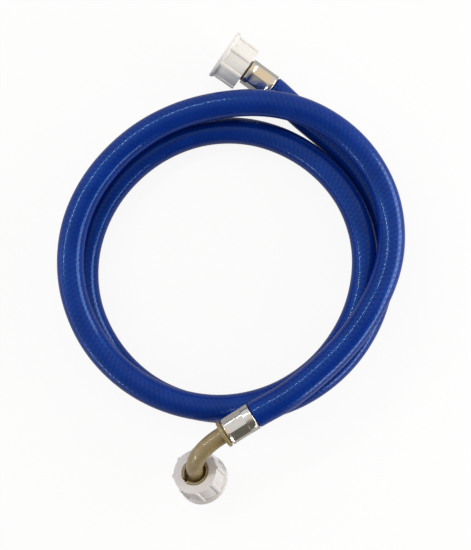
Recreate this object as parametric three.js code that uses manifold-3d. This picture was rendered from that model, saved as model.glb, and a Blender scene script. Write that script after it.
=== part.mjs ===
// Washing machine inlet hose, lying loosely coiled on a flat surface.
//
// A blue hose of about 1.46 m lies in two and a half turns. One end has a straight tail,
// the other a right-angle elbow. Each end has a crimped metal ferrule, a rubber washer
// and a white swivel nut for a G 3/4 thread. Millimetres, Z up, floor at Z = 0.

import * as THREE from "three";
import { NURBSCurve } from "three/addons/curves/NURBSCurve.js";
import { mergeVertices } from "three/addons/utils/BufferGeometryUtils.js";
import Module from "manifold-3d";

const wasm = await Module();
wasm.setup();

// The hose
const HOSE_OD = 16.5;
const HOSE_BORE = 10.4;
const HOSE_SIDES = 12;
const HOSE_BORE_SIDES = 8;
const HOSE_STEPS = 80;
const HOSE_NECK_R = 7.0; // squeezed under each ferrule
const GAP = 0.3; // between pieces that touch

// The coil, as rows of angle (degrees), radius and height about its centre.
// It starts at the elbow end, climbs down off the pile and ends on the floor.
const COIL_X = 0.5;
const COIL_Y = 6.4;
const COIL = [
  [290, 91.0, 41.5], [305, 86.5, 41.0], [322, 87.0, 40.0], [340, 90.5, 39.0],
  [360, 99.5, 31.5], [382, 106.0, 24.8], [405, 106.5, 25.0], [428, 102.5, 28.4],
  [450, 97.0, 24.5], [475, 96.5, 21.0], [500, 97.6, 21.8], [525, 101.4, 23.0],
  [550, 102.5, 24.5], [575, 101.5, 25.5], [600, 98.5, 25.6], [625, 95.5, 25.4],
  [650, 92.0, 24.4], [675, 88.5, 22.7], [700, 86.5, 21.3], [725, 86.0, 20.0],
  [750, 84.5, 17.6], [775, 83.0, 11.5], [800, 83.5, 7.9], [825, 84.0, 8.3],
  [850, 85.5, 8.3], [875, 89.4, 8.3], [900, 94.5, 8.3], [925, 99.0, 8.3],
  [955, 101.5, 8.3], [985, 100.0, 8.3], [1015, 100.2, 8.3], [1045, 100.0, 8.3],
  [1075, 100.0, 8.3], [1105, 101.5, 8.3], [1128, 99.0, 8.3], [1143, 99.5, 8.3],
];

// The straight end: centre of the nut's mouth, and the way from there to the hose
const STRAIGHT_MOUTH = new THREE.Vector3(-4.0, 134.1, 16.8);
const STRAIGHT_AXIS = new THREE.Vector3(0.815, -0.57, -0.11).normalize();
const STRAIGHT_TURN = -10; // degrees that the nut has turned about its axis
const STRAIGHT_CRIMP_TURN = -3.5; // and the ferrule
const STRAIGHT_CRIMP_AT = 4.0; // where the crimped flats start on the ferrule
const STRAIGHT_LEAD = 6.4; // straight way out of the ferrule

// The elbow end: the corner where its two axes meet, and the two directions from it
const CORNER = new THREE.Vector3(-28.2, -114.6, 41.5);
const ELBOW_TO_HOSE = new THREE.Vector3(0.846, 0.532, 0).normalize();
const ELBOW_TILT = THREE.MathUtils.degToRad(33.5);
const ELBOW_LEG = 39.3; // corner to the nut's mouth
const ELBOW_BEND_R = 26.5;
const ELBOW_TUBE_R = 5.25;
const ELBOW_CRIMP_TURN = 6.5;
const ELBOW_CRIMP_AT = 1.9;
const ELBOW_LEAD = 6.8;
const WATER_R = 3.25; // water way through both ends

// Swivel nut, measured from its mouth
const NUT_LENGTH = 17;
const NUT_RIM_R = 16;
const NUT_RIM = 1.6;
const NUT_BODY_R = 14.3; // between the ribs
const NUT_RIB_R = 15.5;
const NUT_RIB_WIDTH = 2.4;
const NUT_BORE_R = 12.3;
const NUT_ENTRY_R = 13.3;
const NUT_BACK_WALL = 3;
const NUT_HOLE_R = 8.6;
const RIBS = 8;

// Ferrule, washer and flange
const FERRULE_LENGTH = 18.5;
const FERRULE_R = 8.5;
const FERRULE_INNER_R = HOSE_NECK_R + 0.35;
const CRIMP_R = 7.95; // distance of the crimped flats from the axis
const CRIMP_LENGTH = FERRULE_LENGTH - 7.7;
const CRIMPS = 8;
const FLANGE_R = 11.6;
const FLANGE = 2;
const WASHER_R = 12.0;
const WASHER_HOLE_R = 5.5;
const WASHER = 2.3;

// Stations along the straight end's axis, from the mouth of its nut
const NUT_BACK = NUT_LENGTH - NUT_BACK_WALL;
const STRAIGHT_PLAY = 2; // how far the nut can slide back
const STRAIGHT_FLANGE_AT = NUT_BACK - GAP - STRAIGHT_PLAY - FLANGE;
const STRAIGHT_FERRULE_AT = NUT_LENGTH + 1.1;
const STEM_R = 7.0;

// Stations along the elbow's leg, from the mouth of its nut
const RING_LIP = 1.5;
const ELBOW_PLAY = 1.5;
const RING_SLOT = 3; // the split ring is open by this much
const ELBOW_FLANGE_AT = NUT_BACK - RING_LIP - GAP - ELBOW_PLAY - FLANGE;

// Stations along the elbow's other axis, from the corner
const COLLAR_AT = 28.4;
const COLLAR = 2;
const COLLAR_R = 8.5;
const ELBOW_FERRULE_AT = COLLAR_AT + COLLAR + 0.9;

// Spigot inside the hose, from a shoulder just inside the ferrule
const SHOULDER_IN = 0.6;
const SPIGOT_ROOT_R = 4.2;
const SPIGOT_BARB_R = 4.7;
const SPIGOT_LENGTH = FERRULE_LENGTH - 2.5;
const BARBS = 3;
const BARB_PITCH = (SPIGOT_LENGTH - 2.5) / BARBS;
const HOSE_IN_FERRULE = FERRULE_LENGTH - SHOULDER_IN - GAP;

const material = (color, roughness, metalness = 0) =>
  new THREE.MeshStandardMaterial({ color, roughness, metalness });

// A profile of [radius, height] points turned about the local Y axis
function turned(profile, sides = 32) {
  const points = profile.map(([r, h]) => new THREE.Vector2(r, h));
  return new THREE.LatheGeometry([...points, points[0].clone()], sides);
}

// A flat outline of [radius, height] points, made WIDTH thick and put at ANGLE about Y
function slab(outline, width, angle, bevel = 0) {
  const shape = new THREE.Shape(outline.map(([r, h]) => new THREE.Vector2(r, h)));
  const geometry = new THREE.ExtrudeGeometry(shape, {
    depth: width - 2 * bevel,
    bevelEnabled: bevel > 0,
    bevelThickness: bevel,
    bevelSize: bevel,
    bevelOffset: -bevel,
    bevelSegments: 1,
  });
  geometry.translate(0, 0, bevel - width / 2);
  geometry.rotateY(angle);
  return geometry;
}

// Geometry to solid and back
function solid(geometry) {
  const bare = geometry.clone();
  bare.deleteAttribute("normal");
  bare.deleteAttribute("uv");
  const merged = mergeVertices(bare, 1e-4);
  const index = merged.index.array;
  const tri = [];
  for (let i = 0; i < index.length; i += 3) {
    const [a, b, c] = [index[i], index[i + 1], index[i + 2]];
    if (a !== b && b !== c && c !== a) tri.push(a, b, c);
  }
  const body = new wasm.Manifold(
    new wasm.Mesh({
      numProp: 3,
      vertProperties: Float32Array.from(merged.attributes.position.array),
      triVerts: Uint32Array.from(tri),
    }),
  );
  return body;
}

function geometryOf(body) {
  const mesh = body.getMesh();
  const geometry = new THREE.BufferGeometry();
  geometry.setAttribute("position", new THREE.BufferAttribute(mesh.vertProperties, 3));
  geometry.setIndex(new THREE.BufferAttribute(mesh.triVerts, 1));
  geometry.computeVertexNormals();
  return geometry;
}

// Swivel nut: a round body with a wider rim at its mouth and eight ribs to grip
function nutGeometry() {
  const core = turned([
    [6, 0],
    [NUT_BODY_R, 0],
    [NUT_BODY_R - 0.1, NUT_LENGTH],
    [6, NUT_LENGTH],
  ]);
  const rim = turned([
    [6, 0],
    [NUT_RIM_R - 0.3, 0],
    [NUT_RIM_R, 0.3],
    [NUT_RIM_R, NUT_RIM],
    [NUT_BODY_R, NUT_RIM + 1.7],
    [6, NUT_RIM + 1.7],
  ]);
  const rib = [
    [NUT_BORE_R + 0.6, 0.8],
    [NUT_RIB_R, 0.8],
    [NUT_RIB_R - 0.3, NUT_LENGTH],
    [NUT_BORE_R + 0.6, NUT_LENGTH],
  ];
  const bore = turned([
    [1, -1],
    [NUT_ENTRY_R, -1],
    [NUT_ENTRY_R, 1.2],
    [NUT_BORE_R, 2.4],
    [NUT_BORE_R, NUT_LENGTH - NUT_BACK_WALL],
    [NUT_HOLE_R, NUT_LENGTH - NUT_BACK_WALL],
    [NUT_HOLE_R, NUT_LENGTH + 1],
    [1, NUT_LENGTH + 1],
  ]);
  let body = solid(core).add(solid(rim));
  for (let i = 0; i < RIBS; i++) {
    const angle = (i * 2 * Math.PI) / RIBS + Math.PI / 2;
    body = body.add(solid(slab(rib, NUT_RIB_WIDTH, angle, 0.5)));
  }
  return geometryOf(body.subtract(solid(bore)));
}

// Ferrule: a thin sleeve with round bands at its ends and eight crimped flats between
function ferruleGeometry(turn, from) {
  const sleeve = turned([
    [FERRULE_INNER_R, 0],
    [FERRULE_R - 0.3, 0],
    [FERRULE_R, 0.3],
    [FERRULE_R, FERRULE_LENGTH - 0.3],
    [FERRULE_R - 0.3, FERRULE_LENGTH],
    [FERRULE_INNER_R, FERRULE_LENGTH],
  ]);
  const slope = FERRULE_R + 1 - CRIMP_R;
  const cut = [
    [CRIMP_R, from],
    [FERRULE_R + 1, from - 2.4 * slope],
    [FERRULE_R + 1, from + CRIMP_LENGTH + 2.4 * slope],
    [CRIMP_R, from + CRIMP_LENGTH],
  ];
  let body = solid(sleeve);
  for (let i = 0; i < CRIMPS; i++) {
    const angle = ((i + 0.5) * 2 * Math.PI) / CRIMPS;
    body = body.subtract(solid(slab(cut, 5.7, angle)));
  }
  const geometry = geometryOf(body);
  geometry.rotateY(THREE.MathUtils.degToRad(turn));
  return geometry;
}

// Rubber washer, a flat ring
function washerGeometry() {
  return turned([
    [WASHER_HOLE_R, 0],
    [WASHER_R, 0],
    [WASHER_R, WASHER],
    [WASHER_HOLE_R, WASHER],
  ]);
}

// Barbs of a spigot as [radius, height] points going up from FROM
function barbs(from) {
  const points = [];
  for (let k = 0; k < BARBS; k++) {
    const at = from + 2 + k * BARB_PITCH;
    points.push([SPIGOT_BARB_R, at], [SPIGOT_ROOT_R, at + BARB_PITCH - 1.1]);
  }
  return points;
}

// Straight tail: flange, stem through the nut, and barbed spigot into the hose
function tailGeometry() {
  const shoulder = STRAIGHT_FERRULE_AT + SHOULDER_IN;
  return turned([
    [WATER_R, STRAIGHT_FLANGE_AT],
    [FLANGE_R, STRAIGHT_FLANGE_AT],
    [FLANGE_R, STRAIGHT_FLANGE_AT + FLANGE],
    [STEM_R, STRAIGHT_FLANGE_AT + FLANGE],
    [STEM_R, shoulder],
    [SPIGOT_ROOT_R, shoulder],
    ...barbs(shoulder),
    [SPIGOT_ROOT_R, shoulder + SPIGOT_LENGTH],
    [WATER_R, shoulder + SPIGOT_LENGTH],
  ]);
}

// Elbow in its own frame: the leg along Y, the hose axis along X, the corner at ELBOW_LEG
function elbowPath() {
  const c = ELBOW_LEG;
  const path = new THREE.CurvePath();
  const k = ELBOW_BEND_R * 0.5523;
  path.add(
    new THREE.CubicBezierCurve3(
      new THREE.Vector3(0, c - ELBOW_BEND_R, 0),
      new THREE.Vector3(0, c - ELBOW_BEND_R + k, 0),
      new THREE.Vector3(ELBOW_BEND_R - k, c, 0),
      new THREE.Vector3(ELBOW_BEND_R, c, 0),
    ),
  );
  return path;
}

function disc(radius, sides) {
  const points = [];
  for (let i = 0; i < sides; i++) {
    const a = (i / sides) * 2 * Math.PI;
    points.push(new THREE.Vector2(radius * Math.cos(a), radius * Math.sin(a)));
  }
  return points;
}

function bend(outer, inner, steps) {
  const shape = new THREE.Shape(disc(outer, 24));
  shape.holes.push(new THREE.Path(disc(inner, 24)));
  return new THREE.ExtrudeGeometry(shape, { steps, extrudePath: elbowPath() });
}

function elbowGeometry() {
  const join = 0.05;
  const legTop = ELBOW_LEG - ELBOW_BEND_R + join;
  const leg = turned(
    [
      [WATER_R, ELBOW_FLANGE_AT],
      [FLANGE_R, ELBOW_FLANGE_AT],
      [FLANGE_R, ELBOW_FLANGE_AT + FLANGE],
      [ELBOW_TUBE_R, ELBOW_FLANGE_AT + FLANGE],
      [ELBOW_TUBE_R, legTop],
      [WATER_R, legTop],
    ],
    24,
  );
  const shoulder = ELBOW_FERRULE_AT + SHOULDER_IN;
  const run = turned(
    [
      [WATER_R, ELBOW_BEND_R - join],
      [ELBOW_TUBE_R, ELBOW_BEND_R - join],
      [ELBOW_TUBE_R, COLLAR_AT],
      [COLLAR_R, COLLAR_AT],
      [COLLAR_R, COLLAR_AT + COLLAR],
      [STEM_R, COLLAR_AT + COLLAR],
      [STEM_R, shoulder],
      [SPIGOT_ROOT_R, shoulder],
      ...barbs(shoulder),
      [SPIGOT_ROOT_R, shoulder + SPIGOT_LENGTH],
      [WATER_R, shoulder + SPIGOT_LENGTH],
    ],
    24,
  );
  run.rotateZ(-Math.PI / 2);
  run.translate(0, ELBOW_LEG, 0);
  const middle = solid(bend(ELBOW_TUBE_R, WATER_R, 12));
  return geometryOf(solid(leg).add(middle).add(solid(run)));
}

// Split ring that keeps the elbow's nut on: a sleeve in the nut's hole with an inner lip
function splitRingGeometry() {
  const outer = NUT_HOLE_R - GAP;
  const ring = turned([
    [STEM_R, NUT_BACK - RING_LIP],
    [outer + 1.7, NUT_BACK - RING_LIP],
    [outer + 1.7, NUT_BACK - GAP],
    [outer, NUT_BACK - GAP],
    [outer, NUT_LENGTH],
    [STEM_R, NUT_LENGTH],
  ]);
  const slot = new THREE.BoxGeometry(outer, 4 * NUT_BACK_WALL, RING_SLOT);
  slot.translate(-outer, NUT_BACK, 0);
  slot.rotateY(THREE.MathUtils.degToRad(10));
  return geometryOf(solid(ring).subtract(solid(slot)));
}

// The frames of the two ends
function placeStraight(node) {
  const y = STRAIGHT_AXIS.clone();
  const up = new THREE.Vector3(0, 0, 1);
  const x = new THREE.Vector3().crossVectors(y, up).normalize();
  const z = new THREE.Vector3().crossVectors(x, y);
  node.setRotationFromMatrix(new THREE.Matrix4().makeBasis(x, y, z));
  node.position.copy(STRAIGHT_MOUTH);
}

function legDirection() {
  const across = new THREE.Vector3(ELBOW_TO_HOSE.y, -ELBOW_TO_HOSE.x, 0);
  const down = new THREE.Vector3(0, 0, -1);
  return across.multiplyScalar(Math.sin(ELBOW_TILT)).addScaledVector(down, Math.cos(ELBOW_TILT));
}

function placeElbow(node) {
  const x = ELBOW_TO_HOSE.clone();
  const y = legDirection().negate();
  const z = new THREE.Vector3().crossVectors(x, y);
  node.setRotationFromMatrix(new THREE.Matrix4().makeBasis(x, y, z));
  node.position.copy(CORNER).addScaledVector(y, -ELBOW_LEG);
}

// The hose's centre line: straight in each ferrule, a smooth curve through the coil between
function hosePath() {
  const elbowOut = ELBOW_FERRULE_AT + FERRULE_LENGTH;
  const straightOut = STRAIGHT_FERRULE_AT + FERRULE_LENGTH;
  const onElbow = (d) => CORNER.clone().addScaledVector(ELBOW_TO_HOSE, d);
  const onStraight = (d) => STRAIGHT_MOUTH.clone().addScaledVector(STRAIGHT_AXIS, d);
  const points = [onElbow(elbowOut), onElbow(elbowOut + ELBOW_LEAD)];
  for (const [angle, radius, height] of COIL) {
    const a = THREE.MathUtils.degToRad(angle);
    const x = COIL_X + radius * Math.cos(a);
    const y = COIL_Y + radius * Math.sin(a);
    points.push(new THREE.Vector3(x, y, height));
  }
  points.push(onStraight(straightOut + STRAIGHT_LEAD), onStraight(straightOut));
  const knots = [0, 0, 0];
  for (let i = 0; i <= points.length - 3; i++) knots.push(i);
  knots.push(points.length - 3, points.length - 3, points.length - 3);
  const path = new THREE.CurvePath();
  path.add(new THREE.LineCurve3(onElbow(elbowOut - HOSE_IN_FERRULE), points[0]));
  path.add(new NURBSCurve(3, knots, points.map((p) => new THREE.Vector4(p.x, p.y, p.z, 1))));
  const last = points[points.length - 1];
  path.add(new THREE.LineCurve3(last, onStraight(straightOut - HOSE_IN_FERRULE)));
  for (const curve of path.curves) curve.arcLengthDivisions = 1600;
  return path;
}

// What the ferrule squeezes off the hose, and the room that the spigot takes in its bore
function hoseEndCut(from) {
  const squeeze = turned([
    [HOSE_NECK_R, from - 2],
    [FERRULE_R + GAP, from - 2],
    [FERRULE_R + GAP, from + FERRULE_LENGTH + 0.7],
    [HOSE_NECK_R, from + FERRULE_LENGTH + 0.3],
  ]);
  const room = turned([
    [1, from - 2],
    [SPIGOT_BARB_R + GAP, from - 2],
    [SPIGOT_BARB_R + GAP, from + SPIGOT_LENGTH + 1.2],
    [1, from + SPIGOT_LENGTH + 1.2],
  ]);
  return [squeeze, room];
}

function hoseGeometry() {
  const shape = new THREE.Shape(disc(HOSE_OD / 2, HOSE_SIDES));
  shape.holes.push(new THREE.Path(disc(HOSE_BORE / 2, HOSE_BORE_SIDES)));
  const tube = new THREE.ExtrudeGeometry(shape, {
    steps: HOSE_STEPS,
    extrudePath: hosePath(),
  });
  let body = solid(tube);
  const ends = [
    [STRAIGHT_FERRULE_AT, placeStraight, false],
    [ELBOW_FERRULE_AT, placeElbow, true],
  ];
  for (const [from, place, sideways] of ends) {
    const frame = new THREE.Object3D();
    place(frame);
    frame.updateMatrix();
    for (const cut of hoseEndCut(from)) {
      if (sideways) {
        cut.rotateZ(-Math.PI / 2);
        cut.translate(0, ELBOW_LEG, 0);
      }
      cut.applyMatrix4(frame.matrix);
      body = body.subtract(solid(cut));
    }
  }
  return geometryOf(body);
}

// Assembly
const hoseBlue = material(0x10307f, 0.28);
const nutWhite = material(0xe9e7e2, 0.45);
const nutPinkish = material(0xe4e0df, 0.45);
const nylonBeige = material(0xa89870, 0.35);
const crimpChrome = material(0xc9c7c1, 0.18, 1);
const washerRubber = material(0x1c1c1e, 0.8);

function piece(name, geometry, look) {
  const mesh = new THREE.Mesh(geometry, look.clone());
  mesh.name = name;
  return mesh;
}

function raised(mesh, height) {
  mesh.position.y = height;
  return mesh;
}

const straightEnd = new THREE.Group();
placeStraight(straightEnd);
const straightNut = piece("straight_nut", nutGeometry(), nutWhite);
straightNut.rotation.y = THREE.MathUtils.degToRad(STRAIGHT_TURN + 22.5);
const straightCrimp = ferruleGeometry(STRAIGHT_CRIMP_TURN, STRAIGHT_CRIMP_AT);
const straightFerrule = piece("straight_ferrule", straightCrimp, crimpChrome);
const straightWasher = piece("straight_washer", washerGeometry(), washerRubber);
straightEnd.add(
  straightNut,
  raised(straightWasher, STRAIGHT_FLANGE_AT - GAP - WASHER),
  piece("straight_tail", tailGeometry(), nylonBeige),
  raised(straightFerrule, STRAIGHT_FERRULE_AT),
);

const elbowEnd = new THREE.Group();
placeElbow(elbowEnd);
const elbowNut = piece("elbow_nut", nutGeometry(), nutPinkish);
elbowNut.rotation.y = THREE.MathUtils.degToRad(22.5);
const elbowWasher = piece("elbow_washer", washerGeometry(), washerRubber);
const elbowCrimp = ferruleGeometry(ELBOW_CRIMP_TURN, ELBOW_CRIMP_AT);
const elbowFerrule = piece("elbow_ferrule", elbowCrimp, crimpChrome);
elbowFerrule.rotation.z = -Math.PI / 2;
elbowFerrule.position.set(ELBOW_FERRULE_AT, ELBOW_LEG, 0);
elbowEnd.add(
  elbowNut,
  raised(elbowWasher, ELBOW_FLANGE_AT - GAP - WASHER),
  piece("elbow_body", elbowGeometry(), nylonBeige),
  piece("elbow_split_ring", splitRingGeometry(), nylonBeige),
  elbowFerrule,
);

const object = new THREE.Group();
object.add(piece("hose", hoseGeometry(), hoseBlue), straightEnd, elbowEnd);

export default object;
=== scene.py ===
# %% [markdown]
# # A washing machine inlet hose, coiled on a table
#
# The object is a blue hose of about 1.46 m that lies in two and a half loose turns. Each end
# carries a crimped metal ferrule and a white swivel nut. One end is straight and the other is
# a right-angle elbow. We load the measured solids first, so that every piece we model has a
# fixed place, and then replace the plain solids with finely made pieces.

# %% Load the measured solids
import math

import bpy
import numpy as np
from mathutils import Matrix, Vector


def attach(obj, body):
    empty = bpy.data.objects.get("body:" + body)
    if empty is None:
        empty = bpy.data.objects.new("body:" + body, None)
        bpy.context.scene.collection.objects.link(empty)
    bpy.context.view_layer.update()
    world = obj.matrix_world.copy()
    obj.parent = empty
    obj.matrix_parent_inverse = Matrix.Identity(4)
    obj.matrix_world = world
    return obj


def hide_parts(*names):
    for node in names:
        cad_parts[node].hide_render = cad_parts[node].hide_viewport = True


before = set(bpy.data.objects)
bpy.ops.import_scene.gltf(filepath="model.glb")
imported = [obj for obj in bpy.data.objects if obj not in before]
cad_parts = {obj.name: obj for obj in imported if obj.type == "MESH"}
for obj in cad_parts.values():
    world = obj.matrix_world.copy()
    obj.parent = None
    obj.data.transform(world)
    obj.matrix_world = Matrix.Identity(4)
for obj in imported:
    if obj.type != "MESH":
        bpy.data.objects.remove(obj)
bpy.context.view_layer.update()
MM = 0.001

# %% [markdown]
# ## Camera
#
# The photograph looks straight down from about 64 cm. A long side of 36 mm of sensor and a
# lens of 65 mm give the same perspective, so the turns high in the pile look as large as they
# should.

# %% Camera
CAMERA_PLACE = (0.0034, -0.0038, 0.640)
SENSOR_SIZE = 36.0
LENS = 65.45

scene = bpy.context.scene
camera_data = bpy.data.cameras.new("camera_above")
camera_data.sensor_width = SENSOR_SIZE
camera_data.lens = LENS
camera = bpy.data.objects.new("camera_above", camera_data)
camera.location = CAMERA_PLACE
camera.rotation_euler = (0, 0, 0)
scene.collection.objects.link(camera)
scene.camera = camera
scene.view_settings.view_transform = "Standard"
print("camera looks down from", CAMERA_PLACE[2], "m")

# %% [markdown]
# ## Where the two ends are
#
# Both ends are turned parts, so each is easiest to model standing upright at the origin, with
# the nut's mouth at height zero. A matrix then carries it to its place. The matrices hold the
# same mouth points and axes as the solids. The turns say how far each piece has turned about
# its own axis, and the crimp places say, in millimetres, where the flats start on a ferrule.

# %% The frames of the two ends
STRAIGHT_MOUTH = Vector((-4.0, 134.1, 16.8)) * MM
STRAIGHT_AXIS = Vector((0.815, -0.57, -0.11)).normalized()
STRAIGHT_TURN = math.radians(-10)
STRAIGHT_CRIMP_TURN = math.radians(-3.5)
STRAIGHT_CRIMP_AT = 4.0

CORNER = Vector((-28.2, -114.6, 41.5)) * MM
ELBOW_TO_HOSE = Vector((0.846, 0.532, 0)).normalized()
ELBOW_TILT = math.radians(33.5)
ELBOW_LEG = 39.3 * MM
ELBOW_BEND_R = 26.5 * MM
ELBOW_CRIMP_TURN = math.radians(6.5)
ELBOW_CRIMP_AT = 1.9


def upright_to(x_axis, z_axis, origin):
    """The matrix that stands a piece's own Z on z_axis and its X on x_axis."""
    y_axis = z_axis.cross(x_axis)
    turn = Matrix((x_axis, y_axis, z_axis)).transposed().to_4x4()
    return Matrix.Translation(origin) @ turn


straight_side = STRAIGHT_AXIS.cross(Vector((0, 0, 1))).normalized()
STRAIGHT = upright_to(straight_side, STRAIGHT_AXIS, STRAIGHT_MOUTH)

across = Vector((ELBOW_TO_HOSE.y, -ELBOW_TO_HOSE.x, 0))
leg_down = across * math.sin(ELBOW_TILT) + Vector((0, 0, -1)) * math.cos(ELBOW_TILT)
ELBOW_MOUTH = CORNER + leg_down * ELBOW_LEG
ELBOW = upright_to(ELBOW_TO_HOSE, -leg_down, ELBOW_MOUTH)
ELBOW_RUN = upright_to(leg_down, ELBOW_TO_HOSE, CORNER)
print("elbow mouth", [round(v, 4) for v in ELBOW_MOUTH])

# %% [markdown]
# ## A few hands for the workshop
#
# Operators act on whatever is selected, so every step starts from a clean selection. These
# helpers select one object, apply its modifiers, turn a profile into a round body, and carry
# a finished piece to its place.


# %% Selection, modifiers and placing
def only(piece):
    """Selects this piece alone, in object mode."""
    if bpy.context.mode != "OBJECT":
        bpy.ops.object.mode_set(mode="OBJECT")
    bpy.ops.object.select_all(action="DESELECT")
    piece.select_set(True)
    bpy.context.view_layer.objects.active = piece


def apply_modifiers(piece):
    only(piece)
    for modifier in list(piece.modifiers):
        bpy.ops.object.modifier_apply(modifier=modifier.name)


def pick(piece, test):
    """Selects the points that pass the test and leaves the piece in edit mode."""
    only(piece)
    bpy.ops.object.mode_set(mode="EDIT")
    bpy.ops.mesh.select_mode(type="VERT")
    bpy.ops.mesh.select_all(action="DESELECT")
    bpy.ops.object.mode_set(mode="OBJECT")
    for vertex in piece.data.vertices:
        vertex.select = test(vertex.co)
    bpy.ops.object.mode_set(mode="EDIT")


def round_edges(piece, width, segments=2, angle=30):
    """Rounds every edge sharper than the angle."""
    bevel = piece.modifiers.new("rounding", "BEVEL")
    bevel.width = width
    bevel.segments = segments
    bevel.limit_method = "ANGLE"
    bevel.angle_limit = math.radians(angle)
    apply_modifiers(piece)


def combine(piece, other, operation):
    """Joins the other piece on, or cuts it out, and removes it."""
    boolean = piece.modifiers.new("combine", "BOOLEAN")
    boolean.operation = operation
    boolean.solver = "EXACT"
    boolean.object = other
    apply_modifiers(piece)
    bpy.data.objects.remove(other)


def shade(piece, angle):
    """Smooth shading, except over edges sharper than the angle."""
    only(piece)
    bpy.ops.object.shade_smooth_by_angle(angle=math.radians(angle))


def carry(piece, matrix):
    """Moves a piece to its place and leaves its object at the origin."""
    only(piece)
    piece.matrix_world = matrix
    bpy.ops.object.transform_apply(location=True, rotation=True, scale=True)


# %% A wire profile, spun round the upright axis
FULL_TURN = 2 * math.pi


def wire(name, profile, closed=True):
    """A profile of (radius, height) points in millimetres as a wire in the XZ plane."""
    mesh = bpy.data.meshes.new(name)
    points = [(r * MM, 0, h * MM) for r, h in profile]
    edges = [(i, i + 1) for i in range(len(points) - 1)]
    if closed:
        edges.append((len(points) - 1, 0))
    mesh.from_pydata(points, edges, [])
    piece = bpy.data.objects.new(name, mesh)
    scene.collection.objects.link(piece)
    return piece


def turned(name, profile, steps, angle=FULL_TURN):
    """A round body, as from a lathe. A profile that starts on the axis makes a solid one."""
    piece = wire(name, profile, closed=profile[0][0] > 0)
    only(piece)
    bpy.ops.object.mode_set(mode="EDIT")
    bpy.ops.mesh.select_all(action="SELECT")
    bpy.ops.mesh.spin(steps=steps, angle=angle, center=(0, 0, 0), axis=(0, 0, 1))
    bpy.ops.mesh.select_all(action="SELECT")
    bpy.ops.mesh.remove_doubles(threshold=1e-6)
    if angle < FULL_TURN:
        bpy.ops.mesh.select_non_manifold()
        bpy.ops.mesh.edge_face_add()
        bpy.ops.mesh.select_all(action="SELECT")
    bpy.ops.mesh.normals_make_consistent(inside=False)
    bpy.ops.object.mode_set(mode="OBJECT")
    return piece


def corner_round(profile, radius, steps=3):
    """Rounds every corner of a closed (radius, height) profile."""
    out = []
    count = len(profile)
    for i, point in enumerate(profile):
        here = Vector(point)
        before = Vector(profile[i - 1]) - here
        after = Vector(profile[(i + 1) % count]) - here
        reach = min(radius, before.length * 0.45, after.length * 0.45)
        start = here + before.normalized() * reach
        end = here + after.normalized() * reach
        for k in range(steps + 1):
            t = k / steps
            out.append(tuple(start * (1 - t) ** 2 + here * 2 * t * (1 - t) + end * t * t))
    return out


# %% [markdown]
# ## The swivel nut
#
# Both nuts come from one mould: a round white plastic cap with a wider rim at its mouth, eight
# ribs to grip, and a thread inside. We build the outside from a round core, a rim and eight
# rounded ribs, join them, and cut the bore. The thread is a thin ridge that climbs the wall of
# the bore, made with a Screw modifier.

# %% Nut: core, rim and ribs
NUT_LENGTH = 17.0
NUT_RIM_R = 16.0
NUT_BODY_R = 14.3
NUT_RIB_R = 15.5
NUT_RIB_WIDTH = 2.4
RIB_ROOT_R = 12.9
RIB_START = 0.9
RIBS = 8
MOULD_DRAFT = 0.12
NUT_STEPS = 128


def nut_core():
    bpy.ops.mesh.primitive_cylinder_add(
        vertices=NUT_STEPS,
        radius=NUT_BODY_R * MM,
        depth=(NUT_LENGTH - 0.4) * MM,
        location=(0, 0, (NUT_LENGTH + 0.4) / 2 * MM),
    )
    core = bpy.context.object
    core.name = "nut_core"
    only(core)
    bpy.ops.object.transform_apply(location=True)
    pick(core, lambda co: co.z > NUT_LENGTH / 2 * MM)
    taper = (NUT_BODY_R - MOULD_DRAFT) / NUT_BODY_R
    bpy.ops.transform.resize(value=(taper, taper, 1), center_override=(0, 0, 0))
    bpy.ops.object.mode_set(mode="OBJECT")
    round_edges(core, 0.4 * MM, 3)
    return core


def nut_rim():
    profile = [
        (10.0, 0.0),
        (NUT_RIM_R, 0.0),
        (NUT_RIM_R, 1.7),
        (NUT_BODY_R - 0.1, 3.3),
        (10.0, 3.3),
    ]
    return turned("nut_rim", corner_round(profile, 0.35), NUT_STEPS)


def nut_ribs():
    bpy.ops.mesh.primitive_cube_add(size=1, location=(0, 0, 0))
    rib = bpy.context.object
    rib.name = "nut_ribs"
    for vertex in rib.data.vertices:
        x, y, z = vertex.co
        crest = NUT_RIB_R if z < 0 else NUT_RIB_R - 0.3
        vertex.co = (
            (crest if x > 0 else RIB_ROOT_R) * MM,
            y * NUT_RIB_WIDTH * MM,
            (RIB_START if z < 0 else NUT_LENGTH) * MM,
        )
    round_edges(rib, 0.7 * MM, 5)
    only(rib)
    bpy.ops.object.mode_set(mode="EDIT")
    bpy.ops.mesh.select_all(action="SELECT")
    bpy.ops.mesh.spin(
        steps=RIBS - 1,
        dupli=True,
        angle=math.radians(360 - 360 / RIBS),
        center=(0, 0, 0),
        axis=(0, 0, 1),
    )
    bpy.ops.object.mode_set(mode="OBJECT")
    return rib


# %% Nut: bore and thread
THREAD_PITCH = 1.814
THREAD_TURNS = 5
THREAD_START = 2.6
THREAD_STEPS = 64


def nut_bore():
    profile = [
        (0.0, -1.0),
        (13.95, -1.0),
        (13.45, 0.5),
        (13.15, 1.3),
        (13.15, 13.2),
        (12.6, 14.0),
        (9.0, 14.0),
        (8.6, 14.4),
        (8.6, 16.6),
        (9.1, 17.2),
        (9.1, 18.0),
        (0.0, 18.0),
    ]
    return turned("nut_bore", profile, NUT_STEPS)


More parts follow.
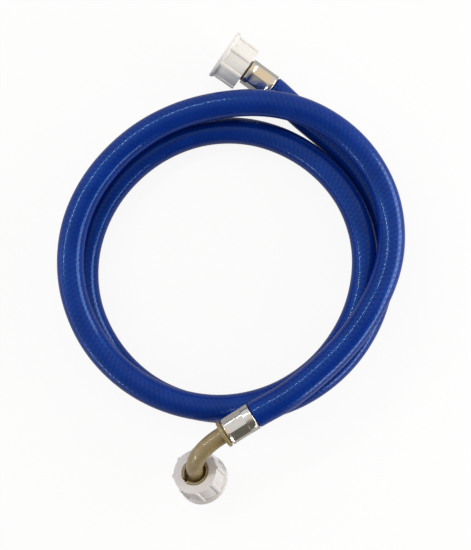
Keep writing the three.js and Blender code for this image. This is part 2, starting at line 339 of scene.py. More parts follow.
def nut_thread():
    ridge = wire("nut_thread", [(13.5, -0.75), (12.25, -0.18), (12.25, 0.18), (13.5, 0.75)])
    screw = ridge.modifiers.new("climb", "SCREW")
    screw.axis = "Z"
    screw.angle = FULL_TURN
    screw.screw_offset = THREAD_PITCH * MM
    screw.iterations = THREAD_TURNS
    screw.steps = screw.render_steps = THREAD_STEPS
    screw.use_merge_vertices = False
    apply_modifiers(ridge)
    bpy.ops.object.mode_set(mode="EDIT")
    bpy.ops.mesh.select_all(action="DESELECT")
    bpy.ops.mesh.select_non_manifold()
    bpy.ops.mesh.edge_face_add()
    bpy.ops.mesh.select_all(action="SELECT")
    bpy.ops.mesh.normals_make_consistent(inside=False)
    bpy.ops.object.mode_set(mode="OBJECT")
    carry(ridge, Matrix.Translation((0, 0, THREAD_START * MM)))
    return ridge


def make_nut():
    nut = nut_core()
    combine(nut, nut_ribs(), "UNION")
    combine(nut, nut_rim(), "UNION")
    combine(nut, nut_bore(), "DIFFERENCE")
    combine(nut, nut_thread(), "UNION")
    nut.name = "nut"
    return nut


nut = make_nut()
print("nut faces", len(nut.data.polygons))

# %% Place the two nuts
HALF_RIB_TURN = math.radians(180 / RIBS)

straight_nut = nut
elbow_nut = nut.copy()
elbow_nut.data = nut.data.copy()
scene.collection.objects.link(elbow_nut)
straight_nut.name = "straight_swivel_nut"
elbow_nut.name = "elbow_swivel_nut"
for piece, place, turn in (
    (straight_nut, STRAIGHT, -(STRAIGHT_TURN + HALF_RIB_TURN)),
    (elbow_nut, ELBOW, -HALF_RIB_TURN),
):
    carry(piece, place @ Matrix.Rotation(turn, 4, "Z"))
    shade(piece, 32)
    print(piece.name, "at", [round(v, 4) for v in place.to_translation()])

# %% [markdown]
# ## Ferrules
#
# A ferrule is a short metal sleeve that a tool squeezes onto the hose from eight sides, so its
# middle becomes eight flats and its ends stay round. We turn a sleeve with many rows of
# points, and press each flat as the tool does: the points of the patch are selected and
# scaled to nothing along one axis, onto the flat's plane. Next to a flat's two ends the rows
# are pressed less and less, which leaves the curved slopes of the tool's jaws. The tool
# didn't bite at the same place on both ends, so each ferrule has its own start of the flats.

# %% Ferrule sleeve
FERRULE_LENGTH = 18.5
FERRULE_R = 8.5
CRIMP_R = 7.95
CRIMP_LENGTH = FERRULE_LENGTH - 7.7
CRIMPS = 8
# Rows beyond each end of a flat: how far out, and how much of the roundness they keep.
SLOPE = ((0.25, 0.12), (0.55, 0.35), (0.85, 0.62), (1.15, 0.84))
LIP_END = 0.65
ROW_REACH = 0.05


def ferrule_profile(start):
    """Outside rows where the flats start and end, and a lip rolled in at the hose's side."""
    stop = start + CRIMP_LENGTH
    outside = [(7.75, 0.0), (8.2, 0.08), (8.42, 0.3), (FERRULE_R, 0.6)]
    rows = [start - reach for reach, _ in reversed(SLOPE)] + [start]
    rows += [start + CRIMP_LENGTH * k / 6 for k in range(1, 6)] + [stop]
    rows += [stop + reach for reach, _ in SLOPE]
    outside += [(FERRULE_R, h) for h in rows if LIP_END < h < FERRULE_LENGTH - 0.9]
    outside += [(FERRULE_R, FERRULE_LENGTH - 0.8), (8.42, FERRULE_LENGTH - 0.62)]
    outside += [(FERRULE_R, FERRULE_LENGTH - 0.42), (8.5, FERRULE_LENGTH - 0.15)]
    outside += [(8.38, FERRULE_LENGTH)]
    end = FERRULE_LENGTH
    inside = [(7.85, end), (7.6, end - 0.5), (7.45, end - 1.2), (7.45, 1.0)]
    return outside + inside + [(7.5, 0.2)]


def press_flat(sleeve, low, high, keep):
    """Pushes the patch that faces +X towards the plane of the flat."""
    half_width = math.sqrt(FERRULE_R**2 - CRIMP_R**2) * math.sqrt(1 - keep)

    def in_patch(co):
        outer = co.x / MM > CRIMP_R
        return outer and abs(co.y / MM) < half_width and low < co.z / MM < high

    pick(sleeve, in_patch)
    bpy.ops.transform.resize(value=(keep, 1, 1), center_override=(CRIMP_R * MM, 0, 0))
    bpy.ops.object.mode_set(mode="OBJECT")


def make_ferrule(name, start):
    sleeve = turned(name, ferrule_profile(start), 128)
    stop = start + CRIMP_LENGTH
    for _ in range(CRIMPS):
        press_flat(sleeve, start - ROW_REACH, stop + ROW_REACH, 0.0)
        for reach, keep in SLOPE:
            for row in (start - reach, stop + reach):
                if row > LIP_END:
                    press_flat(sleeve, row - ROW_REACH, row + ROW_REACH, keep)
        carry(sleeve, Matrix.Rotation(math.radians(360 / CRIMPS), 4, "Z"))
    carry(sleeve, Matrix.Rotation(math.radians(180 / CRIMPS), 4, "Z"))
    return sleeve


# %% Place the two ferrules
STRAIGHT_FERRULE_AT = 18.1
COLLAR_AT = 28.4
ELBOW_FERRULE_AT = COLLAR_AT + 2.9

straight_ferrule = make_ferrule("straight_crimped_ferrule", STRAIGHT_CRIMP_AT)
elbow_ferrule = make_ferrule("elbow_crimped_ferrule", ELBOW_CRIMP_AT)
for piece, place, height, turn in (
    (straight_ferrule, STRAIGHT, STRAIGHT_FERRULE_AT, STRAIGHT_CRIMP_TURN),
    (elbow_ferrule, ELBOW_RUN, ELBOW_FERRULE_AT, ELBOW_CRIMP_TURN),
):
    rise = Matrix.Translation((0, 0, height * MM))
    carry(piece, place @ rise @ Matrix.Rotation(-turn, 4, "Z"))
    shade(piece, 24)
print("ferrule faces", len(elbow_ferrule.data.polygons))

# %% [markdown]
# ## The straight tail, the washers and the split ring
#
# These are all lathe work. The tail is a beige nylon spigot: a flange that the nut pulls
# against the tap, a stem, and barbs inside the hose. A rubber washer lies on the flange. On
# the elbow's side a split ring fills the nut's hole, because a nut can't be slipped over a
# bend.

# %% Tail, washers and ring
FLANGE_R = 11.6
WATER_R = 3.25
STEM_R = 7.0
SPIGOT_R = 4.2
BARB_R = 4.7
SHOULDER = 0.6


def barbed_spigot(start):
    """The part of a profile from the stem's shoulder down to the end inside the hose."""
    points = [(STEM_R, start), (SPIGOT_R, start)]
    for k in range(3):
        at = start + 2 + k * 4.5
        points += [(BARB_R, at), (SPIGOT_R, at + 3.4)]
    return points + [(SPIGOT_R, start + 16), (WATER_R, start + 16)]


def make_tail():
    profile = [
        (WATER_R, 9.7),
        (FLANGE_R, 9.7),
        (FLANGE_R, 11.7),
        (STEM_R, 11.7),
        *barbed_spigot(STRAIGHT_FERRULE_AT + SHOULDER),
    ]
    return turned("straight_hose_tail", corner_round(profile, 0.3), 72)


def make_washer(name, lowest):
    profile = [(5.5, lowest), (12.0, lowest), (12.0, lowest + 2.3), (5.5, lowest + 2.3)]
    return turned(name, corner_round(profile, 0.25), 72)


# %% The split ring
RING_TURN = 190
RING_GAP = 23
LUG_IN = 5.8


def ring_lug(side):
    """A rounded ear on one of the two ends of the split ring."""
    bpy.ops.mesh.primitive_cube_add(size=1)
    lug = bpy.context.object
    lug.scale = (2.1 * MM, 1.7 * MM, 2.6 * MM)
    only(lug)
    bpy.ops.object.transform_apply(scale=True)
    round_edges(lug, 0.55 * MM, 4)
    middle = math.radians(RING_GAP / 2 + side * (RING_GAP / 2 + LUG_IN))
    carry(lug, Matrix.Rotation(middle, 4, "Z") @ Matrix.Translation((8.1 * MM, 0, 16.5 * MM)))
    return lug


def make_split_ring():
    profile = [
        (7.0, 12.5),
        (10.0, 12.5),
        (10.0, 13.7),
        (8.3, 13.7),
        (8.3, 17.0),
        (7.0, 17.0),
    ]
    arc = math.radians(360 - RING_GAP)
    ring = turned("elbow_split_ring_piece", corner_round(profile, 0.25), 80, arc)
    for side in (-1, 1):
        combine(ring, ring_lug(side), "UNION")
    return ring


straight_tail = make_tail()
straight_washer = make_washer("straight_rubber_washer", 7.1)
elbow_washer = make_washer("elbow_rubber_washer", 6.1)
split_ring = make_split_ring()
for piece in (straight_tail, straight_washer):
    carry(piece, STRAIGHT)
carry(elbow_washer, ELBOW)
carry(split_ring, ELBOW @ Matrix.Rotation(math.radians(RING_TURN - RING_GAP / 2), 4, "Z"))
for piece in (straight_tail, straight_washer, elbow_washer, split_ring):
    shade(piece, 40)
    print(piece.name, "faces", len(piece.data.polygons))

# %% [markdown]
# ## The elbow
#
# The elbow is one nylon moulding: a flange in the nut, a round tube through a quarter bend, a
# collar against the ferrule, and a barbed spigot in the hose. We start from a circle in the
# nut and follow the water: extrude straight up, spin through the bend, and extrude again.


# %% Elbow tube: extrude, spin, extrude
ELBOW_TUBE_R = 5.25
SOCKET_R = 5.27  # a hair more than the tube, so that no two walls coincide
ELBOW_WALL = 2.0
ELBOW_STEPS = 56
STUB = 1.6 * MM


def make_bend():
    """The tube's outer wall through the bend, from the leg's top to the run's start."""
    leg = ELBOW_LEG - ELBOW_BEND_R
    bpy.ops.mesh.primitive_circle_add(
        vertices=ELBOW_STEPS, radius=ELBOW_TUBE_R * MM, location=(0, 0, leg - STUB)
    )
    tube = bpy.context.object
    tube.name = "elbow_moulding"
    only(tube)
    bpy.ops.object.transform_apply(location=True)
    bpy.ops.object.mode_set(mode="EDIT")
    bpy.ops.mesh.select_all(action="SELECT")
    bpy.ops.mesh.extrude_region_move(TRANSFORM_OT_translate={"value": (0, 0, STUB)})
    bpy.ops.mesh.spin(
        steps=28,
        angle=math.pi / 2,
        center=(ELBOW_BEND_R, 0, leg),
        axis=(0, -1, 0),
    )
    bpy.ops.mesh.extrude_region_move(
        TRANSFORM_OT_translate={"value": (COLLAR_AT * MM - ELBOW_BEND_R + 0.5 * MM, 0, 0)}
    )
    bpy.ops.mesh.select_all(action="SELECT")
    bpy.ops.mesh.normals_make_consistent(inside=False)
    bpy.ops.object.mode_set(mode="OBJECT")
    return tube


# %% Elbow foot, collar and spigot
def elbow_foot():
    leg_top = (ELBOW_LEG - ELBOW_BEND_R) / MM - 0.2
    profile = [
        (WATER_R, 8.7),
        (FLANGE_R, 8.7),
        (FLANGE_R, 10.7),
        (6.2, 10.7),
        (SOCKET_R, 11.6),
        (SOCKET_R, leg_top),
        (WATER_R, leg_top),
    ]
    return turned("elbow_foot", corner_round(profile, 0.3), ELBOW_STEPS)


def elbow_collar():
    profile = [
        (WATER_R, COLLAR_AT - 0.6),
        (SOCKET_R, COLLAR_AT - 0.6),
        (5.6, COLLAR_AT),
        (8.5, COLLAR_AT),
        (8.5, COLLAR_AT + 2),
        (STEM_R, COLLAR_AT + 2),
        *barbed_spigot(ELBOW_FERRULE_AT + SHOULDER),
    ]
    return turned("elbow_collar", corner_round(profile, 0.3), ELBOW_STEPS)


def make_elbow():
    tube = make_bend()
    wall = tube.modifiers.new("wall", "SOLIDIFY")
    wall.thickness = ELBOW_WALL * MM
    wall.offset = -1
    apply_modifiers(tube)
    foot = elbow_foot()
    collar = elbow_collar()
    carry(collar, ELBOW.inverted() @ ELBOW_RUN)
    combine(tube, foot, "UNION")
    combine(tube, collar, "UNION")
    return tube


elbow = make_elbow()
carry(elbow, ELBOW)
shade(elbow, 40)
print("elbow faces", len(elbow.data.polygons))

# %% [markdown]
# ## The hose
#
# A cord is a fixed length of something bendy, so its centre line comes first. Its points were
# placed as in the solids: each row is an angle, a radius and a height, in degrees and
# metres, round the coil's middle.
# A smooth B-spline runs through them, straight in each ferrule. The skin is a mesh tube whose
# UV map counts real metres, so that the braid pattern keeps its size along the whole hose.

# %% Centre line
HOSE_R = 8.25 * MM
HOSE_BORE_R = 5.2 * MM
HOSE_NECK_R = 7.05 * MM
HOSE_IN_FERRULE = 17.6 * MM
ELBOW_LEAD = 6.8 * MM
STRAIGHT_LEAD = 6.4 * MM
COIL_CENTRE = Vector((0.5, 6.4, 0)) * MM
COIL = [
    (290, 0.0910, 0.0415), (305, 0.0865, 0.0410), (322, 0.0870, 0.0400),
    (340, 0.0905, 0.0390), (360, 0.0995, 0.0315), (382, 0.1060, 0.0248),
    (405, 0.1065, 0.0250), (428, 0.1025, 0.0284), (450, 0.0970, 0.0245),
    (475, 0.0965, 0.0210), (500, 0.0976, 0.0218), (525, 0.1014, 0.0230),
    (550, 0.1025, 0.0245), (575, 0.1015, 0.0255), (600, 0.0985, 0.0256),
    (625, 0.0955, 0.0254), (650, 0.0920, 0.0244), (675, 0.0885, 0.0227),
    (700, 0.0865, 0.0213), (725, 0.0860, 0.0200), (750, 0.0845, 0.0176),
    (775, 0.0830, 0.0115), (800, 0.0835, 0.0079), (825, 0.0840, 0.0083),
    (850, 0.0855, 0.0083), (875, 0.0894, 0.0083), (900, 0.0945, 0.0083),
    (925, 0.0990, 0.0083), (955, 0.1015, 0.0083), (985, 0.1000, 0.0083),
    (1015, 0.1002, 0.0083), (1045, 0.1000, 0.0083), (1075, 0.1000, 0.0083),
    (1105, 0.1015, 0.0083), (1128, 0.0990, 0.0083), (1143, 0.0995, 0.0083),
]


def coil_point(angle, radius, height):
    a = math.radians(angle)
    return COIL_CENTRE + Vector((radius * math.cos(a), radius * math.sin(a), height))


elbow_out = (ELBOW_FERRULE_AT + FERRULE_LENGTH) * MM
straight_out = (STRAIGHT_FERRULE_AT + FERRULE_LENGTH) * MM
route = [CORNER + ELBOW_TO_HOSE * reach for reach in (elbow_out, elbow_out + ELBOW_LEAD)]
route += [coil_point(*row) for row in COIL]
route += [STRAIGHT_MOUTH + STRAIGHT_AXIS * (straight_out + STRAIGHT_LEAD)]
route += [STRAIGHT_MOUTH + STRAIGHT_AXIS * straight_out]
print("points of the route", len(route))


# %% B-spline through the route
POINTS_PER_SPAN = 60


def spline_at(points, t):
    """A point of the clamped cubic B-spline over the points, t from 0 to len(points) - 3."""
    last = len(points) - 4
    span = min(int(t), last)
    knots = [min(max(k - 3, 0), last + 1) for k in range(len(points) + 4)]
    local = [points[span + k].copy() for k in range(4)]
    for level in range(1, 4):
        for k in range(3, level - 1, -1):
            low = knots[span + k]
            high = knots[span + k + 4 - level]
            share = (t - low) / (high - low)
            local[k] = local[k - 1] * (1 - share) + local[k] * share
    return local[3]


def centre_line():
    spans = len(route) - 3
    count = spans * POINTS_PER_SPAN
    fine = [spline_at(route, spans * i / count) for i in range(count + 1)]
    first = CORNER + ELBOW_TO_HOSE * (elbow_out - HOSE_IN_FERRULE)
    last = STRAIGHT_MOUTH + STRAIGHT_AXIS * (straight_out - HOSE_IN_FERRULE)
    return np.array([first, *fine, last])


line = centre_line()
steps = np.linalg.norm(np.diff(line, axis=0), axis=1)
run_length = np.concatenate([[0], np.cumsum(steps)])
HOSE_LENGTH = float(run_length[-1])
print("hose length", round(HOSE_LENGTH, 4))


# %% Rings of the hose
def hose_radius(s):
    """Squeezed in the ferrules, a little swollen just outside them, never quite even."""
    out = min(s, HOSE_LENGTH - s) - HOSE_IN_FERRULE
    if out < 0.2 * MM:
        return HOSE_NECK_R
    climb = min((out - 0.2 * MM) / (1.1 * MM), 1.0)
    climb = math.sin(climb * math.pi / 2)
    swell = 0.05 * MM * math.exp(-(((out - 4 * MM) / (4 * MM)) ** 2))
    uneven = 0.03 * MM * math.sin(s * 61.0) + 0.02 * MM * math.sin(s * 173.0 + 1.0)
    return HOSE_NECK_R + (HOSE_R - HOSE_NECK_R) * climb + (swell + uneven) * climb


# Rings stand close together where the skin swells out of a ferrule.
NEAR_END = (0, 8, 16, 17.6, 17.8, 18.0, 18.2, 18.4, 18.6, 18.9, 19.3, 20, 21, 22.5, 24.5)
MIDDLE_RINGS = 560
near = [n * MM for n in NEAR_END]
middle = np.linspace(near[-1], HOSE_LENGTH - near[-1], MIDDLE_RINGS)[1:-1]
stations = near + list(middle) + [HOSE_LENGTH - n for n in reversed(near)]
centres = [
    Vector([float(np.interp(s, run_length, line[:, k])) for k in range(3)]) for s in stations
]


def ring_axes(i):
    """Sideways and upward directions across the hose at ring i."""
    back = centres[max(i - 1, 0)]
    ahead = centres[min(i + 1, len(centres) - 1)]
    along = (ahead - back).normalized()
    side = along.cross(Vector((0, 0, 1))).normalized()
    return side, side.cross(along)


print("rings of the hose", len(stations))

# %% Hose mesh
SIDES = 40


def hose_mesh():
    verts, faces, uvs = [], [], []
    rings = len(stations)
    for i, (centre, s) in enumerate(zip(centres, stations)):
        side, up = ring_axes(i)
        outer = hose_radius(s)
        for radius in (outer, HOSE_BORE_R):
            for k in range(SIDES):
                a = 2 * math.pi * k / SIDES
                verts.append(centre + side * (radius * math.cos(a)) + up * (radius * math.sin(a)))
    around = 2 * math.pi * HOSE_R
    ring = 2 * SIDES

    def wall(i, shift, flip):
        for k in range(SIDES):
            n = (k + 1) % SIDES
            a, b = i * ring + shift + k, i * ring + shift + n
            c, d = (i + 1) * ring + shift + n, (i + 1) * ring + shift + k
            u0, u1 = around * k / SIDES, around * (k + 1) / SIDES
            v0, v1 = stations[i], stations[i + 1]
            face = [(a, u0, v0), (b, u1, v0), (c, u1, v1), (d, u0, v1)]
            if flip:
                face.reverse()
            faces.append([f[0] for f in face])
            uvs.extend([(f[1], f[2]) for f in face])

    def end(i, flip):
        for k in range(SIDES):
            n = (k + 1) % SIDES
            face = [i * ring + k, i * ring + n, i * ring + SIDES + n, i * ring + SIDES + k]
            if flip:
                face.reverse()
            faces.append(face)
            uvs.extend([(0, stations[i])] * 4)

    for i in range(rings - 1):
        wall(i, 0, False)
        wall(i, SIDES, True)
    end(0, True)
    end(rings - 1, False)
    mesh = bpy.data.meshes.new("blue_hose")
    mesh.from_pydata(verts, [], faces)
    layer = mesh.uv_layers.new(name="metres")
    layer.data.foreach_set("uv", [c for uv in uvs for c in uv])
    return mesh


hose = bpy.data.objects.new("blue_hose", hose_mesh())
scene.collection.objects.link(hose)
only(hose)
bpy.ops.object.mode_set(mode="EDIT")
bpy.ops.mesh.select_all(action="SELECT")
bpy.ops.mesh.normals_make_consistent(inside=False)
bpy.ops.object.mode_set(mode="OBJECT")
shade(hose, 50)
print("hose faces", len(hose.data.polygons))

# %% [markdown]
# ## Shared surface effects
#
# Moulded plastic, nylon and metal all carry a fine unevenness. It is one node group with its
# own scale and strengths, placed in each material with values that suit it. The group only
# puts out values that change over the surface. Colours and glosses that are the same all over
# are typed into the shader.


# %% Node group: fine unevenness
def node(tree, kind, **values):
    """A new node with its settings."""
    made = tree.nodes.new(kind)
    for name, value in values.items():
        setattr(made, name, value)
    return made


def unevenness_group():
    group = bpy.data.node_groups.new("fine unevenness", "ShaderNodeTree")
    add = group.interface.new_socket
    add("Vector", in_out="INPUT", socket_type="NodeSocketVector")
    for name in ("Scale", "Low", "High"):
        add(name, in_out="INPUT", socket_type="NodeSocketFloat")
    for name in ("Value", "Height"):
        add(name, in_out="OUTPUT", socket_type="NodeSocketFloat")
    inlet = node(group, "NodeGroupInput")
    outlet = node(group, "NodeGroupOutput")
    noise = node(group, "ShaderNodeTexNoise")
    noise.inputs["Detail"].default_value = 4
    noise.inputs["Roughness"].default_value = 0.6
    spread = node(group, "ShaderNodeMapRange")
    link = group.links.new
    link(inlet.outputs["Vector"], noise.inputs["Vector"])
    link(inlet.outputs["Scale"], noise.inputs["Scale"])
    link(noise.outputs["Fac"], spread.inputs["Value"])
    spread.inputs["From Min"].default_value = 0.3
    spread.inputs["From Max"].default_value = 0.7
    link(inlet.outputs["Low"], spread.inputs["To Min"])
    link(inlet.outputs["High"], spread.inputs["To Max"])
    link(spread.outputs["Result"], outlet.inputs["Value"])
    link(noise.outputs["Fac"], outlet.inputs["Height"])
    return group


UNEVENNESS = unevenness_group()
print(UNEVENNESS.name, "nodes", len(UNEVENNESS.nodes))


# %% Helpers for materials
def new_material(name, colour, roughness, metallic=0.0):
    """A material with its tree and its Principled shader."""
    made = bpy.data.materials.new(name)
    made.use_nodes = True
    shader = made.node_tree.nodes["Principled BSDF"]
    shader.inputs["Base Color"].default_value = (*colour, 1)
    shader.inputs["Roughness"].default_value = roughness
    shader.inputs["Metallic"].default_value = metallic
    return made, made.node_tree, shader


def add_unevenness(tree, scale, low, high, vector=None):
    """Places the unevenness group, on the piece's own coordinates unless told otherwise."""
    group = tree.nodes.new("ShaderNodeGroup")
    group.node_tree = UNEVENNESS
    group.inputs["Scale"].default_value = scale
    group.inputs["Low"].default_value = low
    group.inputs["High"].default_value = high
    if vector is None:
        vector = tree.nodes.new("ShaderNodeTexCoord").outputs["Object"]
    tree.links.new(vector, group.inputs["Vector"])
    return group


def add_bump(tree, shader, height, strength, distance):
    bump = tree.nodes.new("ShaderNodeBump")
    bump.inputs["Strength"].default_value = strength
    bump.inputs["Distance"].default_value = distance
    tree.links.new(height, bump.inputs["Height"])
    tree.links.new(bump.outputs["Normal"], shader.inputs["Normal"])


def colour_ramp(tree, value, low, high):
    """A colour that goes from low to high as the value goes from 0 to 1."""
    ramp = tree.nodes.new("ShaderNodeValToRGB")
    ramp.color_ramp.elements[0].color = (*low, 1)
    ramp.color_ramp.elements[1].color = (*high, 1)
    tree.links.new(value, ramp.inputs["Fac"])
    return ramp


def cloudy_colour(tree, shader, scale, low, high):
    """A base colour that wanders between two tones."""
    cloudy = add_unevenness(tree, scale, 0.0, 1.0)
    tint = colour_ramp(tree, cloudy.outputs["Value"], low, high)
    tree.links.new(tint.outputs["Color"], shader.inputs["Base Color"])


def uneven_gloss(tree, shader, scale, low, high, vector=None):
    """A roughness that wanders between two values. Its height can feed a bump."""
    grain = add_unevenness(tree, scale, low, high, vector)
    tree.links.new(grain.outputs["Value"], shader.inputs["Roughness"])
    return grain.outputs["Height"]


def subsurface(shader, weight, radius):
    shader.inputs["Subsurface Weight"].default_value = weight
    shader.inputs["Subsurface Radius"].default_value = radius
    shader.inputs["Subsurface Scale"].default_value = 0.5


# %% [markdown]
# ## Blue hose
#
# The outer ply is glossy blue PVC over a textile braid. The braid hardly shows in the colour,
# but it presses a relief into the skin, about 3 mm from ridge to ridge, and breaks up every
# highlight. The relief is two families of slanted waves over the UV map, which counts metres:
# one winds to the left and one to the right. Two layers of gloss share the work. The lower one
# follows the relief and is tinted blue, which gives wide soft highlights. A thin clear coat
# stays smooth and gives the fine bright streaks. It is stronger on the ridges.


# %% Node group: braid relief
YARNS = 9
YARN_SPACING = 0.0033
SECOND_FAMILY = 0.6


def maths(tree, operation, a, b=None, c=None):
    """A Math node whose operands are numbers or sockets."""
    made = node(tree, "ShaderNodeMath", operation=operation)
    for socket, value in zip(made.inputs, (a, b, c)):
        if value is None:
            continue
        if isinstance(value, (int, float)):
            socket.default_value = value
        else:
            tree.links.new(value, socket)
    return made.outputs[0]


def braid_group():
    group = bpy.data.node_groups.new("braid relief", "ShaderNodeTree")
    add = group.interface.new_socket
    add("Vector", in_out="INPUT", socket_type="NodeSocketVector")
    for name in ("Yarns", "Spacing"):
        add(name, in_out="INPUT", socket_type="NodeSocketFloat")
    add("Height", in_out="OUTPUT", socket_type="NodeSocketFloat")
    inlet = node(group, "NodeGroupInput")
    outlet = node(group, "NodeGroupOutput")
    split = node(group, "ShaderNodeSeparateXYZ")
    group.links.new(inlet.outputs["Vector"], split.inputs[0])
    around = maths(group, "DIVIDE", split.outputs["X"], float(2 * math.pi * HOSE_R))
    around = maths(group, "MULTIPLY", around, inlet.outputs["Yarns"])
    along = maths(group, "DIVIDE", split.outputs["Y"], inlet.outputs["Spacing"])
    ridges = []
    for direction in ("ADD", "SUBTRACT"):
        phase = maths(group, direction, along, around)
        wave = maths(group, "COSINE", maths(group, "MULTIPLY", phase, 2 * math.pi))
        ridges.append(maths(group, "MULTIPLY_ADD", wave, 0.5, 0.5))
    weaker = maths(group, "MULTIPLY", ridges[1], SECOND_FAMILY)
    total = maths(group, "ADD", ridges[0], weaker)
    group.links.new(total, outlet.inputs["Height"])
    return group


BRAID = braid_group()
print(BRAID.name, "nodes", len(BRAID.nodes))


# %% Blue hose material
RELIEF = 0.000028
COAT_BASE = 0.06
COAT_RISE = 0.24


def blue_hose_material():
    made, tree, shader = new_material("blue hose skin", (0.001, 0.024, 0.24), 0.3)
    uv = node(tree, "ShaderNodeUVMap", uv_map="metres")
    braid = node(tree, "ShaderNodeGroup", node_tree=BRAID)
    braid.inputs["Yarns"].default_value = YARNS
    braid.inputs["Spacing"].default_value = YARN_SPACING
    tree.links.new(uv.outputs["UV"], braid.inputs["Vector"])
    height = braid.outputs["Height"]
    cloudy_colour(tree, shader, 60.0, (0.001, 0.020, 0.20), (0.002, 0.029, 0.262))
    uneven_gloss(tree, shader, 220.0, 0.24, 0.34)
    add_bump(tree, shader, height, 1.0, RELIEF)
    shader.inputs["Specular Tint"].default_value = (0.12, 0.45, 1.0, 1)
    clear = maths(tree, "MULTIPLY_ADD", height, COAT_RISE, COAT_BASE)
    tree.links.new(clear, shader.inputs["Coat Weight"])
    shader.inputs["Coat Roughness"].default_value = 0.07
    return made


# %% [markdown]
# ## White nut plastic, beige nylon, plated metal and rubber
#
# The nuts are semi-matt and let a little light in, so they get some subsurface. Nylon is
# warmer, glossier and slightly cloudy. The plated ferrules are bright and carry fine scratches
# round their axis. The rubber is black and dull.


# %% Nut, nylon, metal and rubber materials
def nut_material(name, low, high):
    made, tree, shader = new_material(name, high, 0.42)
    cloudy_colour(tree, shader, 90.0, low, high)
    grain = uneven_gloss(tree, shader, 1400.0, 0.36, 0.5)
    add_bump(tree, shader, grain, 0.25, 0.00003)
    subsurface(shader, 0.15, (0.003, 0.0025, 0.002))
    return made


def nylon_material():
    made, tree, shader = new_material("beige nylon", (0.36, 0.29, 0.165), 0.3)
    cloudy_colour(tree, shader, 130.0, (0.28, 0.21, 0.09), (0.35, 0.27, 0.13))
    grain = uneven_gloss(tree, shader, 260.0, 0.22, 0.30)
    add_bump(tree, shader, grain, 0.08, 0.00002)
    subsurface(shader, 0.2, (0.004, 0.003, 0.0015))
    shader.inputs["Coat Weight"].default_value = 0.5
    shader.inputs["Coat Roughness"].default_value = 0.08
    return made


def plated_material(name, place):
    """Bright metal whose scratches run round the axis of its own ferrule."""
    made, tree, shader = new_material(name, (0.80, 0.78, 0.74), 0.16, 1.0)
    origin, turn = place.to_translation(), place.to_3x3().inverted().to_euler()
    coords = tree.nodes.new("ShaderNodeTexCoord")
    centred = node(tree, "ShaderNodeVectorMath", operation="SUBTRACT")
    centred.inputs[1].default_value = origin
    turned_back = node(tree, "ShaderNodeMapping")
    turned_back.inputs["Rotation"].default_value = turn
    turned_back.inputs["Scale"].default_value = (0.08, 0.08, 1.0)
    tree.links.new(coords.outputs["Object"], centred.inputs[0])
    tree.links.new(centred.outputs[0], turned_back.inputs["Vector"])
    scratches = uneven_gloss(tree, shader, 6000.0, 0.12, 0.24, turned_back.outputs["Vector"])
    add_bump(tree, shader, scratches, 0.15, 0.00002)
    return made


def rubber_material():
    made, tree, shader = new_material("black rubber", (0.012, 0.012, 0.013), 0.7)
    grain = uneven_gloss(tree, shader, 1800.0, 0.6, 0.8)
    add_bump(tree, shader, grain, 0.4, 0.00004)
    return made


# %% Give each piece its material
blue_skin = blue_hose_material()
warm_white = nut_material("white nut plastic", (0.81, 0.80, 0.775), (0.87, 0.86, 0.84))
# The elbow nut is the same plastic as the straight one. Its copy is painted darker: painted shade
# for the weaker light that falls on its tilted back face.
shaded_nut_white = nut_material("nut plastic darkened for shade", (0.69, 0.665, 0.66), (0.75, 0.73, 0.725))
nylon = nylon_material()
plated_straight = plated_material("plated metal straight", STRAIGHT)
plated_elbow = plated_material("plated metal elbow", ELBOW_RUN)
rubber = rubber_material()
LOOKS = (
    (hose, blue_skin, "hose_blue"),
    (straight_nut, warm_white, "nut_white"),
    (elbow_nut, shaded_nut_white, "nut_white"),
    (straight_tail, nylon, "nylon_beige"),
    (elbow, nylon, "nylon_beige"),
    (split_ring, nylon, "nylon_beige"),
    (straight_ferrule, plated_straight, "crimp_metal"),
    (elbow_ferrule, plated_elbow, "crimp_metal"),
    (straight_washer, rubber, "washer_rubber"),
    (elbow_washer, rubber, "washer_rubber"),
)
for piece, look, slot in LOOKS:
    piece.data.materials.clear()
    piece.data.materials.append(look)
    print(piece.name, "wears", look.name)

# %% [markdown]
# ## Which body each piece rides on
#
# The nuts spin and slide a little on their tails. The washers and the split ring slide with
# them. Everything else is fixed to the hose.

# %% Ride and replace
RIDES = (
    (hose, "hose", "hose"),
    (straight_tail, "hose", "straight_tail"),
    (straight_ferrule, "hose", "straight_ferrule"),
    (elbow, "hose", "elbow_body"),
    (elbow_ferrule, "hose", "elbow_ferrule"),
    (straight_washer, "straight_washer", "straight_washer"),
    (straight_nut, "straight_nut", "straight_nut"),
    (split_ring, "elbow_ring", "elbow_split_ring"),
    (elbow_washer, "elbow_ring", "elbow_washer"),
    (elbow_nut, "elbow_nut", "elbow_nut"),
)
for piece, body, solid in RIDES:
    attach(piece, body)
    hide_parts(solid)

# %% [markdown]
# ## Floor, light and background
#
# The hose lies on a white ground in an ordinary room. One large window stands low at the right,
# with a weaker panel next to it, and they give the wide streak on the outer side of the coil.
# A long thin strip at the upper left and a short one at the lower left give the fine lines on
# the other turns, and a weak panel fills the left side. The rest of the light is even and comes
# from a pale world. The bright metal needs something to mirror, so the world has a dark corner
# and a beige wall. The floor and the world are near white for camera rays, and the floor keeps
# the shadow of the hose.

# %% Floor
def seen_white(tree, in_mirrors):
    """A mask: 1 for camera rays, and a given share for glossy and transmission rays."""
    rays = node(tree, "ShaderNodeLightPath").outputs
    mirrored = maths(tree, "MAXIMUM", rays["Is Glossy Ray"], rays["Is Transmission Ray"])
    mirrored = maths(tree, "MULTIPLY", mirrored, in_mirrors)
    return maths(tree, "MAXIMUM", rays["Is Camera Ray"], mirrored), rays["Is Camera Ray"]


def blend(tree, share, first, second, kind):
    """Mixes two shaders by the share and sends the result to the output."""
    mix = node(tree, "ShaderNodeMixShader")
    output = node(tree, kind)
    tree.links.new(share, mix.inputs["Fac"])
    tree.links.new(first.outputs[0], mix.inputs[1])
    tree.links.new(second.outputs[0], mix.inputs[2])
    tree.links.new(mix.outputs[0], output.inputs["Surface"])


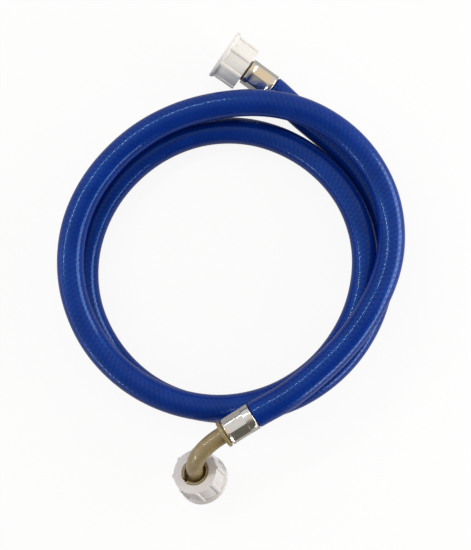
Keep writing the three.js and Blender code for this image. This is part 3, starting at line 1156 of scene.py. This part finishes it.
FLOOR_SIZE = 6
FLOOR_IN_MIRRORS = 0.26
FLOOR_GLOW = 0.9  # the rest is matt, and holds the shadow

bpy.ops.mesh.primitive_plane_add(size=FLOOR_SIZE, location=(0, 0, 0))
floor = bpy.context.object
floor.name = "pale_floor"
floor_look = bpy.data.materials.new("pale floor")
floor_look.use_nodes = True
tree = floor_look.node_tree
tree.nodes.clear()
matt = node(tree, "ShaderNodeBsdfDiffuse")
bright = node(tree, "ShaderNodeEmission")
bright.inputs["Strength"].default_value = 1.0
seen, by_camera = seen_white(tree, FLOOR_IN_MIRRORS)
tint = colour_ramp(tree, by_camera, (0.36, 0.355, 0.345), (0.97, 0.97, 0.97))
tree.links.new(tint.outputs["Color"], matt.inputs["Color"])
glow = maths(tree, "MULTIPLY", seen, FLOOR_GLOW)
blend(tree, glow, matt, bright, "ShaderNodeOutputMaterial")
floor.data.materials.append(floor_look)
print("floor", FLOOR_SIZE, "m wide")


# %% Lamps
COIL_MIDDLE = Vector((0, 0, 0.02))


def panel(name, place, size, energy, along=None):
    """A soft panel that faces the coil. Its long side may run along a given direction."""
    lamp = bpy.data.lights.new(name, "AREA")
    lamp.shape = "RECTANGLE"
    lamp.size, lamp.size_y = size
    lamp.energy = energy
    holder = bpy.data.objects.new(name, lamp)
    place = Vector(place)
    back = (place - COIL_MIDDLE).normalized()
    side = Vector(along) if along else Vector((0, 0, 1)).cross(back)
    side = (side - back * side.dot(back)).normalized()
    holder.matrix_world = upright_to(side, back, place)
    scene.collection.objects.link(holder)
    print(name, energy, "W")


panel("window_right", (1.05, 0.2, 0.35), (0.95, 0.55), 7.8)
panel("window_low", (0.88, -0.58, 0.24), (0.75, 0.3), 4.0)
panel("strip_left", (-0.61, 0.35, 0.745), (1.1, 0.025), 3.2, along=(0.734, 0.699, 0.272))
panel("strip_low", (-0.8, -0.72, 0.3), (0.4, 0.03), 0.8)
panel("fill_low", (-1.0, -0.35, 0.14), (1.2, 0.2), 0.8)

# %% World
DARK_CORNER = Vector((0.47, -0.68, 0.55)).normalized()
BEIGE_WALL = Vector((0.35, 0.50, 0.79)).normalized()
BEIGE = (0.86, 0.68, 0.46, 1)
WORLD_IN_MIRRORS = 0.06

world = bpy.data.worlds.new("pale surroundings")
world.use_nodes = True
scene.world = world
tree = world.node_tree
tree.nodes.clear()
coords = node(tree, "ShaderNodeTexCoord")


def towards(direction, start, stop):
    """Goes from 0 to 1 while the cosine to the direction goes from start to stop."""
    facing = node(tree, "ShaderNodeVectorMath", operation="DOT_PRODUCT")
    facing.inputs[1].default_value = direction
    tree.links.new(coords.outputs["Generated"], facing.inputs[0])
    spread = node(tree, "ShaderNodeMapRange")
    spread.inputs["From Min"].default_value = start
    spread.inputs["From Max"].default_value = stop
    tree.links.new(facing.outputs["Value"], spread.inputs["Value"])
    return spread.outputs["Result"]


from_corner = towards(DARK_CORNER, 1.0, 0.36)
sky = colour_ramp(tree, from_corner, (0.06, 0.05, 0.025), (0.67, 0.665, 0.67))
for place, colour in ((0.3, (0.12, 0.10, 0.07, 1)), (0.62, (0.38, 0.37, 0.36, 1))):
    sky.color_ramp.elements.new(place).color = colour
room = node(tree, "ShaderNodeMix", data_type="RGBA")
tree.links.new(towards(BEIGE_WALL, 0.86, 0.93), room.inputs["Factor"])
tree.links.new(sky.outputs["Color"], room.inputs["A"])
room.inputs["B"].default_value = BEIGE
surroundings = node(tree, "ShaderNodeBackground")
tree.links.new(room.outputs["Result"], surroundings.inputs["Color"])
backdrop = node(tree, "ShaderNodeBackground")
backdrop.inputs["Color"].default_value = (1, 1, 1, 1)
seen, _ = seen_white(tree, WORLD_IN_MIRRORS)
blend(tree, seen, surroundings, backdrop, "ShaderNodeOutputWorld")
print(world.name, "nodes", len(tree.nodes))
